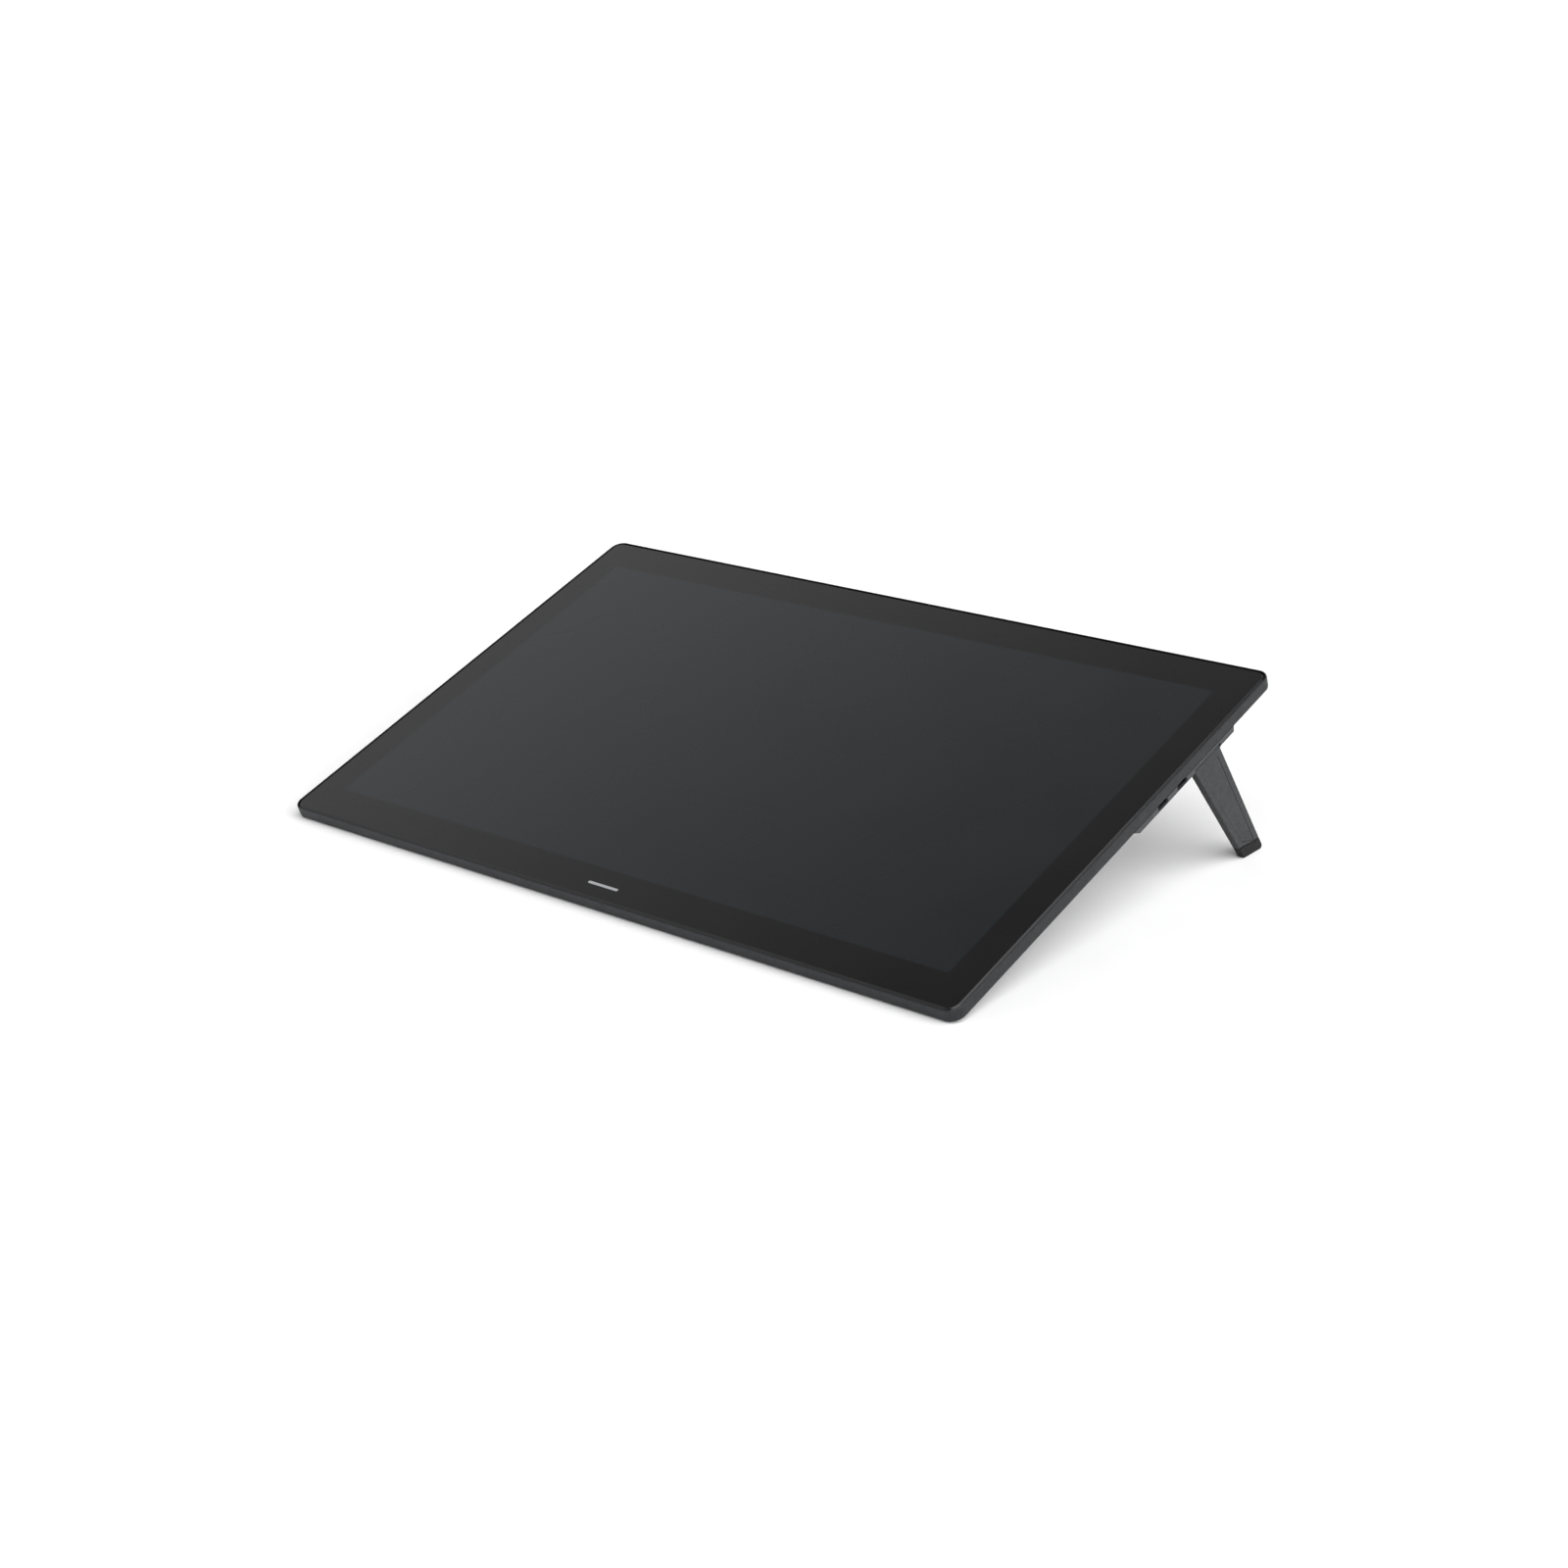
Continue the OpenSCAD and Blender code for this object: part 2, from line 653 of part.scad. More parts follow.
// Strap fixed to the frame, with two ears that hold the pin
module hinge_bracket() intersection() {
    difference() {
        union() {
            block(bracket_x0, bracket_x1, front_ear_y - 0.9, bracket_y1, bracket_z, -rim_h);
            block(flange_x0, flange_x1, bracket_y0, leg_y - 0.1, bracket_z, -rim_h);
            for (y = [front_ear_y, rear_ear_y]) {
                side_bar(pin_x, y, y + ear_t, pin_z, ear_r);
                block(pin_x - ear_r, bracket_x1, y, y + ear_t, pin_z, bracket_z + 0.2);
            }
        }
        side_bar(pin_x, bracket_y0, bracket_y1, pin_z, pin_r);
        for (p = bracket_screws) post(p.x, p.y, screw_r + 0.1, bracket_z - 1, 0);
    }
    union() {
        block(flange_x0 - 1, half_w, bracket_y0 - 1, bracket_y1 + 1, bracket_z - 0.3, 0);
        housing_body(0.05, 0);
    }
}

module hinge_pin()
    side_bar(pin_x, front_ear_y - pin_end, rear_ear_y + ear_t + pin_end, pin_z, pin_r);

// One washer before the leg's barrel and two behind it
module friction_washers() {
    wash_t = 0.4;
    for (y = [leg_y - front_gap / 2 - wash_t / 2, leg_y + leg_w + rear_gap / 3 - wash_t / 2,
            leg_y + leg_w + 2 * rear_gap / 3 - wash_t / 2])
        difference() {
            side_bar(pin_x, y, y + wash_t, pin_z, leg_t / 2 - 0.3);
            side_bar(pin_x, y - 1, y + wash_t + 1, pin_z, pin_r + pin_clear);
        }
}

module right_hinge_bracket() color("#77797c") panel_pose() hinge_bracket();

module left_hinge_bracket() color("#77797c") panel_pose() mirror([1, 0, 0]) hinge_bracket();

module right_hinge_pin() color("#b4b6b8") panel_pose() hinge_pin();

module left_hinge_pin() color("#b4b6b8") panel_pose() mirror([1, 0, 0]) hinge_pin();

module right_friction_washers() color("#c8a657") panel_pose() friction_washers();

module left_friction_washers() color("#c8a657") panel_pose() mirror([1, 0, 0]) friction_washers();

module hinge_screws() color("#a8aaad") panel_pose() both_sides()
    for (p = bracket_screws) translate([p.x, p.y, bracket_z - 0.8]) screw(1.7, 4.6);

// ---- Legs, drawn standing open ----

// Side view of a leg between two depths below the pin, drawn in by a margin
function leg_front(d) = leg_y + d * tan(leg_front_lean);
function leg_rear(d) = leg_y + leg_w + d * tan(leg_rear_lean);
// Depth of the floor line at a leg edge, raised by h
function front_depth(h) = (foot_drop - h / cos(tilt)) / (1 - tan(leg_front_lean) * tan(tilt));
function rear_depth(h) = (foot_drop - h / cos(tilt) + leg_w * tan(tilt))
    / (1 - tan(leg_rear_lean) * tan(tilt));

// Leg outline from a top depth down to a height above the floor
module leg_side(top, height, margin) {
    fd = front_depth(height + margin);
    rd = rear_depth(height + margin);
    polygon([[leg_front(top) + margin, -top], [leg_rear(top) - margin, -top],
        [leg_rear(rd) - margin, -rd], [leg_front(fd) + margin, -fd]]);
}

// Plate with the leg's side view, between two distances from the pin's plane
module leg_plate(x0, x1, top, height, margin) {
    translate([pin_x + x0, 0, pin_z]) rotate([90, 0, 90]) linear_extrude(x1 - x0)
        leg_side(top, height, margin);
}

// Outline of the inset cover plate, drawn in by a gap
module cover_side(gap) {
    top = 3.2 + gap;
    fd = front_depth(leg_foot_h + 2 + gap);
    rd = rear_depth(leg_foot_h + 2 + gap);
    polygon([[leg_front(top) + cover_border_front + gap, -top],
        [leg_rear(top) - cover_border_rear - gap, -top],
        [leg_rear(rd) - cover_border_rear - gap, -rd],
        [leg_front(fd) + cover_border_front + gap, -fd]]);
}

// Middle of the leg's width at a depth
function leg_mid(d) = (leg_front(d) + leg_rear(d)) / 2;

module leg_frame() difference() {
    union() {
        side_bar(pin_x, leg_y, leg_y + leg_w, pin_z, leg_t / 2);
        hull() {
            leg_plate(-leg_t / 2 + leg_edge, leg_t / 2 - leg_edge, 0, leg_foot_h, 0);
            leg_plate(-leg_t / 2, leg_t / 2, 0, leg_foot_h + leg_edge, leg_edge);
        }
        leg_plate(-leg_t / 2 + 1, leg_t / 2 - 1, leg_t, leg_foot_h - tongue_h, 3);
    }
    side_bar(pin_x, leg_y - 1, leg_y + leg_w + 1, pin_z, pin_r + pin_clear);
    side_bar(pin_x, leg_y + leg_w, rear_ear_y + 1, pin_z, leg_t / 2 + 0.3);
    translate([pin_x + leg_t / 2 - cover_t - 0.1, 0, pin_z]) rotate([90, 0, 90])
        linear_extrude(2) cover_side(0);
    for (d = cover_screw_d) translate([pin_x - leg_t, leg_mid(d), pin_z - d])
        rotate([0, 90, 0]) {
            cylinder(h = 2 * leg_t, r = screw_r + 0.1, $fn = bore_fn);
            cylinder(h = leg_t / 2 + 1.25, r = 1.9, $fn = bore_fn);
        }
}

// Cover plate with two blind threaded holes in its inner face
module leg_cover() difference() {
    translate([pin_x + leg_t / 2 - cover_t - 0.1, 0, pin_z]) rotate([90, 0, 90])
        linear_extrude(cover_t) cover_side(0.15);
    for (d = cover_screw_d) translate([pin_x, leg_mid(d), pin_z - d])
        rotate([0, 90, 0]) cylinder(h = leg_t / 2 - 0.4, r = screw_r, $fn = bore_fn);
}

module leg_foot() difference() {
    hull() {
        foot_slab(leg_t / 2 + 0.15 - 0.5, 0);
        foot_slab(leg_t / 2 + 0.15, 0.5);
    }
    leg_plate(-leg_t / 2 + 1, leg_t / 2 - 1, leg_t, leg_foot_h - tongue_h, 3);
}

// Side view of the rubber foot with rounded lower corners
module foot_slab(half_t, margin) {
    r = 1.5;
    h = leg_foot_h - 0.02;
    place_front = leg_front(front_depth(r + margin)) + r / cos(leg_front_lean) + margin;
    place_rear = leg_rear(rear_depth(r + margin)) - r / cos(leg_rear_lean) - margin;
    dip = margin * tan(tilt);
    translate([pin_x - half_t, 0, pin_z]) rotate([90, 0, 90]) linear_extrude(2 * half_t) hull() {
        polygon([[leg_front(front_depth(h)) + margin, -front_depth(h) - dip],
            [leg_rear(rear_depth(h)) - margin, -rear_depth(h) + dip],
            [leg_rear(rear_depth(3)) - margin, -rear_depth(3)],
            [leg_front(front_depth(3)) + margin, -front_depth(3)]]);
        foot_corner(place_front, r, margin);
        foot_corner(place_rear, r, margin);
    }
}

// Round lower corner that touches the floor line, raised by a margin
module foot_corner(y, r, margin) {
    z = front_foot_z - (y - front_foot_y) * tan(tilt) + (r + margin) / cos(tilt) - pin_z;
    translate([y, z]) circle(r, $fn = 24);
}

module cover_screws() for (d = cover_screw_d)
    translate([pin_x - leg_t / 2 + 0.35, leg_mid(d), pin_z - d]) rotate([0, 90, 0])
        screw(1.7, leg_t - 0.35 - 0.45);

module right_leg_frame() color("#4c4d4f") panel_pose() leg_frame();

module left_leg_frame() color("#4c4d4f") panel_pose() mirror([1, 0, 0]) leg_frame();

module right_leg_cover() color("#505153") panel_pose() leg_cover();

module left_leg_cover() color("#505153") panel_pose() mirror([1, 0, 0]) leg_cover();

module right_leg_foot() color("#222223") panel_pose() leg_foot();

module left_leg_foot() color("#222223") panel_pose() mirror([1, 0, 0]) leg_foot();

module right_cover_screws() color("#2a2a2c") panel_pose() cover_screws();

module left_cover_screws() color("#2a2a2c") panel_pose() mirror([1, 0, 0]) cover_screws();

front_glass();
bezel_mask();
glass_gasket();
lcd_panel();
optical_sheets();
light_guide();
reflector_sheet();
backlight_strip();
backlight_tray();
pen_sensor_board();
sensor_shield();
driver_board();
panel_flexes();
display_cable();
mid_frame();
rear_cover();
front_feet();
case_screws();
main_board();
main_chips();
shield_can();
thermal_pad();
heat_spreader();
sensor_flex();
board_screws();
port_board();
port_flex();
front_usb_socket();
rear_usb_socket();
power_switch();
power_button();
status_light_pipe();
hinge_screws();
right_hinge_bracket();
right_hinge_pin();
right_friction_washers();
right_leg_frame();
right_leg_cover();
right_leg_foot();
right_cover_screws();
left_hinge_bracket();
left_hinge_pin();
left_friction_washers();
left_leg_frame();
left_leg_cover();
left_leg_foot();
left_cover_screws();
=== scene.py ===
"""Pen display drawing tablet: the visible pieces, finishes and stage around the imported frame.

Laid out as a Blender add-on and run as a script. Every length is in metres. Pieces are modelled flat in
the panel frame, with x to the right, y to the back and z out of the glass from the middle of its face,
and then laid in their place on the tilted tablet.
"""

import json
import math

import bmesh
import bpy
from bpy.props import FloatProperty, FloatVectorProperty, IntProperty, PointerProperty
from mathutils import Matrix, Vector


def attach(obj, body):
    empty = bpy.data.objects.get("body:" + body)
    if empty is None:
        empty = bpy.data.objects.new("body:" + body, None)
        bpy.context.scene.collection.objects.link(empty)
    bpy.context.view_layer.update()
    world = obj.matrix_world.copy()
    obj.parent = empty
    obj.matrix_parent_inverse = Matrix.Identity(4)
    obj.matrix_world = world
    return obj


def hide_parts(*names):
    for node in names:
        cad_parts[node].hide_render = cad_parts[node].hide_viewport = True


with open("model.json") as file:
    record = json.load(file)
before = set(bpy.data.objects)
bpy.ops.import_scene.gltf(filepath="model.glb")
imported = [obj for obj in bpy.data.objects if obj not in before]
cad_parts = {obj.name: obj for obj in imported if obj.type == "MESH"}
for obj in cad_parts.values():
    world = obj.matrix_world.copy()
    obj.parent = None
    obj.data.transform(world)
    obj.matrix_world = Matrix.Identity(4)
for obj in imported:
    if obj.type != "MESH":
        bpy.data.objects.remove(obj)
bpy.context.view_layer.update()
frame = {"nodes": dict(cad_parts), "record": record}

bl_info = {
    "name": "Pen display tablet",
    "version": (1, 0, 0),
    "blender": (4, 5, 0),
    "location": "3D View > Sidebar > Pen display",
    "description": "Models the finishes and fine shapes of a pen display tablet on folding legs",
    "category": "Object",
}

MM = 0.001
# gaps below which two points, or a point and a height, count as one
WELD = 0.001 * MM
LEVEL_GAP = 0.01 * MM
SEAM_WELD = 0.02 * MM
ARC_GAP = 0.1 * MM
# faces that meet at less than the first angle are one flat face, and at more than the second a sharp edge
FLAT_ANGLE = math.radians(0.6)
SHARP_ANGLE = math.radians(28.0)
FACE = next(m for m in frame["record"]["mounts"] if m["name"] == "glass_face")
TILT = math.atan2(-FACE["axis"][1], FACE["axis"][2])
PANEL = Matrix.Translation(FACE["pos_m"]) @ Matrix.Rotation(TILT, 4, "X")
PANEL_INVERSE = PANEL.inverted()


# ---------------------------------------------------------------- frame and selection helpers


def panel_box(node):
    """Lowest and highest corner of a CAD node in the panel frame."""
    corners = [PANEL_INVERSE @ v.co for v in frame["nodes"][node].data.vertices]
    low = Vector([min(c[i] for c in corners) for i in range(3)])
    high = Vector([max(c[i] for c in corners) for i in range(3)])
    return low, high


def only(piece):
    """Selects one object and makes it active."""
    if bpy.context.object and bpy.context.object.mode != "OBJECT":
        bpy.ops.object.mode_set(mode="OBJECT")
    bpy.ops.object.select_all(action="DESELECT")
    piece.select_set(True)
    bpy.context.view_layer.objects.active = piece


def pick(mode, test):
    """In edit mode, selects only the vertices, edges or faces that pass a test."""
    bpy.ops.mesh.select_mode(type=mode)
    bpy.ops.mesh.select_all(action="DESELECT")
    mesh = bmesh.from_edit_mesh(bpy.context.object.data)
    group = {"VERT": mesh.verts, "EDGE": mesh.edges, "FACE": mesh.faces}[mode]
    group.ensure_lookup_table()
    chosen = [item for item in group if test(item)]
    if not chosen:
        raise RuntimeError(f"nothing to select on {bpy.context.object.name}")
    for item in chosen:
        item.select_set(True)
    mesh.select_flush_mode()
    bmesh.update_edit_mesh(bpy.context.object.data)


def middle(item):
    """Middle of an edge or a face."""
    return sum((v.co for v in item.verts), Vector()) / len(item.verts)


def upright(edge):
    """True for an edge that runs along z."""
    a, b = (v.co for v in edge.verts)
    return abs(a.z - b.z) > 0.5 * (a - b).length


def level(z):
    """A test for an edge or face that lies wholly at a height."""
    return lambda item: all(abs(v.co.z - z) < LEVEL_GAP for v in item.verts)


def cap(z):
    """A test for a face at a height with a rounded outline, and so with more than four corners."""
    return lambda face: level(z)(face) and len(face.verts) > 4


def start_box(name, low, high):
    """A cube primitive that fills a box, left in edit mode."""
    bpy.ops.object.select_all(action="DESELECT")
    bpy.ops.mesh.primitive_cube_add(size=1, location=(Vector(low) + Vector(high)) / 2)
    piece = bpy.context.object
    piece.name = name
    piece.scale = Vector(high) - Vector(low)
    bpy.ops.object.transform_apply(location=True, rotation=True, scale=True)
    bpy.ops.object.mode_set(mode="EDIT")
    return piece


def finish_piece(piece, body, material, smooth=30.0, nodes=(), laid=True):
    """Lays a modelled piece on the tablet, gives it its finish and makes it ride on its body."""
    only(piece)
    bpy.ops.object.mode_set(mode="EDIT")
    bpy.ops.mesh.select_all(action="SELECT")
    bpy.ops.mesh.normals_make_consistent(inside=False)
    bpy.ops.object.mode_set(mode="OBJECT")
    if laid:
        piece.matrix_world = PANEL
        bpy.ops.object.transform_apply(location=True, rotation=True, scale=True)
    bpy.ops.object.shade_smooth_by_angle(angle=math.radians(smooth))
    bpy.ops.object.modifier_add(type="WEIGHTED_NORMAL")
    even = piece.modifiers[-1]
    even.keep_sharp = True
    bpy.ops.object.modifier_apply(modifier=even.name)
    piece.data.materials.clear()
    piece.data.materials.append(material)
    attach(piece, body)
    if nodes:
        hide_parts(*nodes)


def refined(node, name, width, segments=2):
    """A merged copy of a CAD node with its sharp outer edges rounded, left in object mode."""
    source = frame["nodes"][node]
    piece = bpy.data.objects.new(name, source.data.copy())
    bpy.context.scene.collection.objects.link(piece)
    only(piece)
    bpy.ops.object.mode_set(mode="EDIT")
    bpy.ops.mesh.select_mode(type="EDGE")
    bpy.ops.mesh.select_all(action="SELECT")
    bpy.ops.mesh.remove_doubles(threshold=WELD)
    bpy.ops.mesh.dissolve_limited(angle_limit=FLAT_ANGLE)
    bpy.ops.mesh.normals_make_consistent(inside=False)
    pick("EDGE", lambda e: len(e.link_faces) == 2 and e.is_convex
         and e.calc_face_angle() > SHARP_ANGLE)
    bpy.ops.mesh.bevel(offset=width, segments=segments, clamp_overlap=True)
    bpy.ops.object.mode_set(mode="OBJECT")
    return piece


# ---------------------------------------------------------------- colour and material helpers


def linear(code):
    """Linear red, green, blue and alpha of an sRGB hex colour."""
    parts = [int(code.lstrip("#")[i:i + 2], 16) / 255 for i in (0, 2, 4)]
    return [p / 12.92 if p <= 0.04045 else ((p + 0.055) / 1.055) ** 2.4 for p in parts] + [1.0]


def tone(value):
    """Linear colour of an sRGB hex code or of a colour property."""
    return linear(value) if isinstance(value, str) else list(value)


def add(tree, kind, settings=None, links=None):
    """Adds a node, sets its inputs or properties and links its inputs to sockets. An input goes by its
    name, or by its number where several share a name."""
    made = tree.nodes.new(kind)
    for key, value in (settings or {}).items():
        if isinstance(key, int) or key in made.inputs:
            made.inputs[key].default_value = value
        else:
            setattr(made, key, value)
    for key, socket in (links or {}).items():
        tree.links.new(socket, made.inputs[key])
    return made


def new_material(name, **constants):
    """A material with a shader whose constants are set directly, its tree and its object coordinates
    turned into the panel frame, so that patterns follow the tablet's own directions."""
    material = bpy.data.materials.new(name)
    material.use_nodes = True
    tree = material.node_tree
    tree.nodes.clear()
    shader = add(tree, "ShaderNodeBsdfPrincipled", constants)
    add(tree, "ShaderNodeOutputMaterial", links={"Surface": shader.outputs["BSDF"]})
    place = add(tree, "ShaderNodeTexCoord")
    turned = add(tree, "ShaderNodeMapping", {"Rotation": (-TILT, 0, 0),
                                             "Location": PANEL_INVERSE.translation},
                 {"Vector": place.outputs["Object"]})
    return material, tree, shader, turned.outputs["Vector"]


def mottle(tree, where, size, low, high, detail=3.0):
    """A noise of a real grain size, spread between two values."""
    noise = add(tree, "ShaderNodeTexNoise", {"Scale": 1 / size, "Detail": detail},
                {"Vector": where})
    return add(tree, "ShaderNodeMapRange", {"From Min": 0.3, "From Max": 0.7, "To Min": low,
                                            "To Max": high}, {"Value": noise.outputs["Fac"]})


def tinted(tree, shader, amount, dark, light):
    """Colours a shader between two colours by an amount socket."""
    mix = add(tree, "ShaderNodeMix", {"data_type": "RGBA", 6: tone(dark), 7: tone(light)}, {0: amount})
    tree.links.new(mix.outputs[2], shader.inputs["Base Color"])


def bumped(tree, shader, height, distance):
    """Adds a bump of a real depth to a shader."""
    bump = add(tree, "ShaderNodeBump", {"Strength": 1.0, "Distance": distance}, {"Height": height})
    tree.links.new(bump.outputs["Normal"], shader.inputs["Normal"])


def grained(name, dark, light, roughness, grain, depth, metallic=0.0, spread=0.06, **constants):
    """A surface with a mottled colour and roughness and a fine bump of one grain size."""
    material, tree, shader, where = new_material(name, Metallic=metallic, **constants)
    fine = mottle(tree, where, grain, 0.0, 1.0, 4.0)
    tinted(tree, shader, fine.outputs["Result"], dark, light)
    rough = mottle(tree, where, grain * 6, roughness - spread, roughness + spread)
    tree.links.new(rough.outputs["Result"], shader.inputs["Roughness"])
    bumped(tree, shader, fine.outputs["Result"], depth)
    return material


# ---------------------------------------------------------------- materials


def anodised_frame():
    """Anodised aluminium, bead blasted: a satin dark grey whose fine pits scatter light and give a
    broad soft highlight. The pits are 0.05 mm on the real part and drawn at 0.9 mm so that they show."""
    look = bpy.context.scene.pen_display_colours
    return grained("anodised_aluminium_frame", look.frame_dark, look.frame_light, 0.46, 0.9 * MM,
                   0.006 * MM, metallic=0.75)


def anodised_leg():
    """Anodised aluminium, bead blasted a little lighter than the frame, with the same drawn pit size."""
    look = bpy.context.scene.pen_display_colours
    return grained("anodised_aluminium_leg", look.leg_dark, look.leg_light, 0.44, 0.9 * MM,
                   0.004 * MM, metallic=0.75)


def leg_edge_painted_shade():
    """Near-black matt finish on the legs' narrow faces, with a grain of 0.8 mm. On the front faces, which
    lie under the tablet, this dark tone is painted shade.
    """
    look = bpy.context.scene.pen_display_colours
    return grained("leg_edge_with_painted_shade", look.leg_edge, look.leg_edge_light, 0.6, 0.8 * MM, 0.004 * MM)


def painted_cover():
    """Die-cast magnesium with a soft-touch baked paint: matt, with an orange-peel ripple of 1.2 mm."""
    look = bpy.context.scene.pen_display_colours
    return grained("painted_magnesium_cover", look.cover_dark, look.cover_light, 0.52, 1.2 * MM,
                   0.008 * MM)


def inside(tree, coordinate, centre, half):
    """1 where a coordinate lies within half a width of a centre, and 0 elsewhere."""
    away = add(tree, "ShaderNodeMath", {"operation": "SUBTRACT", 1: centre}, {0: coordinate})
    distance = add(tree, "ShaderNodeMath", {"operation": "ABSOLUTE"}, {0: away.outputs["Value"]})
    near = add(tree, "ShaderNodeMath", {"operation": "LESS_THAN", 1: half},
               {0: distance.outputs["Value"]})
    return near.outputs["Value"]


def etched_glass():
    """Strengthened glass with an etched face, bonded to what lies behind it, so that it takes its colour
    from there: black ceramic ink round the border and the bluish polariser of the switched-off display
    inside it. The etch spreads what it mirrors into a soft sheen, a little unevenly over some 60 mm."""
    size = bpy.context.scene.pen_display_sizes
    look = bpy.context.scene.pen_display_colours
    low, high = panel_box("mid_frame")
    material, tree, shader, where = new_material("etched_bonded_glass", IOR=1.5)
    parts = add(tree, "ShaderNodeSeparateXYZ", links={"Vector": where})
    front, back = low.y + size.border_front, high.y - size.border_back
    across = inside(tree, parts.outputs["X"], 0.0, high.x - size.border_side)
    along = inside(tree, parts.outputs["Y"], (front + back) / 2, (back - front) / 2)
    picture = add(tree, "ShaderNodeMath", {"operation": "MULTIPLY"}, {0: across, 1: along})
    tinted(tree, shader, picture.outputs["Value"], look.border_ink, look.display_off)
    broad = mottle(tree, where, 60 * MM, 0.26, 0.29)
    tree.links.new(broad.outputs["Result"], shader.inputs["Roughness"])
    return material


def screen_ink():
    """Black ceramic ink, screen printed on the back of the glass: even and matt, with a mesh grain of
    0.3 mm too fine to see, drawn at 0.8 mm."""
    return grained("printed_black_ink", "#070707", "#090909", 0.55, 0.8 * MM, 0.001 * MM,
                   **{"Specular IOR Level": 0.0})


def display_polariser():
    """Polariser film over a switched-off liquid crystal cell: a near-black with a faint blue cast, on a
    dot grid of 0.1 mm drawn at 1 mm."""
    material, tree, shader, where = new_material(
        "display_polariser", Roughness=0.3, **{"Specular IOR Level": 0.0})
    dots = add(tree, "ShaderNodeTexVoronoi", {"Scale": 1 / (1.0 * MM), "Randomness": 0.0},
               {"Vector": where})
    tinted(tree, shader, dots.outputs["Distance"], "#1a1d21", "#171a1e")
    bumped(tree, shader, dots.outputs["Distance"], 0.001 * MM)
    return material


def moulded_rubber():
    """Silicone rubber, compression moulded: matt and almost black, with a faint dusty bloom and a
    finely pitted skin. The pits are 0.4 mm on the real part and drawn at 0.6 mm."""
    return grained("moulded_rubber", "#0e0e0f", "#161617", 0.78, 0.6 * MM, 0.02 * MM, spread=0.08,
                   **{"Specular IOR Level": 0.3})


def printed_mark():
    """Silver pad-printing ink: a pale grey film with a slight metallic fleck of 0.3 mm."""
    return grained("pad_printed_ink", "#9a9c9f", "#b4b6b8", 0.4, 0.3 * MM, 0.002 * MM, metallic=0.3)


def turned_metal(name, dark, light, roughness, grain):
    """Rolled, drawn or turned metal: short fine lines along x, as long as the grain given and a
    fourteenth of that apart."""
    material, tree, shader, where = new_material(name, Metallic=1.0)
    streak = add(tree, "ShaderNodeMapping", {"Scale": (1, 14, 1)}, {"Vector": where})
    lines = mottle(tree, streak.outputs["Vector"], grain, 0.0, 1.0, 2.0)
    tinted(tree, shader, lines.outputs["Result"], dark, light)
    rough = mottle(tree, where, grain * 3, roughness - 0.05, roughness + 0.05)
    tree.links.new(rough.outputs["Result"], shader.inputs["Roughness"])
    bumped(tree, shader, lines.outputs["Result"], 0.003 * MM)
    return material


def circuit_board():
    """Glass-epoxy board under green solder resist: copper tracks show through as a lighter green. They
    are 0.5 mm wide on a grid of 2 by 4 mm, drawn wider than the real 0.15 mm so that they show."""
    material, tree, shader, where = new_material("solder_resist_board", Roughness=0.32)
    tracks = add(tree, "ShaderNodeTexBrick", {"Scale": 1 / (8 * MM), "Mortar Size": 0.03,
                                              "Color1": linear("#0f4a30"), "Color2": linear("#11523a"),
                                              "Mortar": linear("#2f7a4c")}, {"Vector": where})
    tree.links.new(tracks.outputs["Color"], shader.inputs["Base Color"])
    bumped(tree, shader, tracks.outputs["Fac"], 0.03 * MM)
    return material


def flex_film():
    """Polyimide flex circuit: glossy amber film over copper lines. They are drawn about every 2 mm,
    wider apart than the real 0.5 mm, so that they show."""
    material, tree, shader, where = new_material("polyimide_flex", Roughness=0.28)
    lines = add(tree, "ShaderNodeTexWave", {"Scale": 1 / (6.3 * MM), "bands_direction": "X"},
                {"Vector": where})
    tinted(tree, shader, lines.outputs["Fac"], "#8a4d12", "#c98a3a")
    return material


def light_guide_acrylic():
    """Acrylic, injection moulded and polished: clear and glossy with a faint cool cast."""
    return grained("moulded_acrylic", "#d4e4e6", "#e2f0f2", 0.12, 2 * MM, 0.001 * MM,
                   **{"Transmission Weight": 0.6})


